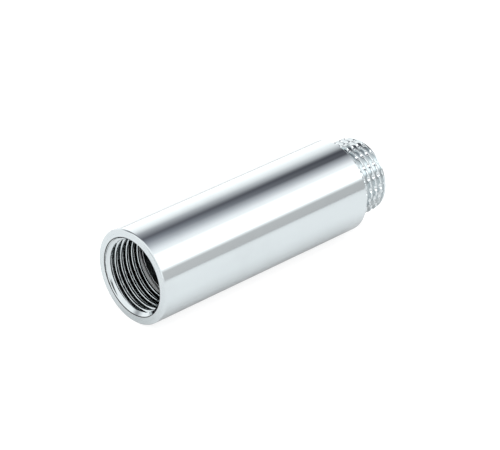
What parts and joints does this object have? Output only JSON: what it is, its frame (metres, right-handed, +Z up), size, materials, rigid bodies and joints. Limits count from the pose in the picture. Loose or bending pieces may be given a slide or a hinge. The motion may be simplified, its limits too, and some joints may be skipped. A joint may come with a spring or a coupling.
{
  "type": "pipe extension nipple",
  "caption": "Round plated extension nipple with a female pipe thread at one end and a notched male pipe thread at the other.",
  "frame": {"origin": "centre of the mouth face of the female end", "axes": "+Y along the axis towards the male thread, +Z up, lying on its side"},
  "size_m": [0.0254, 0.08, 0.0254],
  "materials": {
    "barrel": "polished chrome plate with very faint polishing marks",
    "threaded_socket": "satin chrome plate, as turned, with fine tool marks",
    "threaded_spigot": "chrome plate over a notched thread, a little duller in the grooves"
  },
  "bodies": {
    "root": {"barrel": "barrel", "threaded_socket": "threaded_socket", "threaded_spigot": "threaded_spigot"}
  },
  "joints": []
}
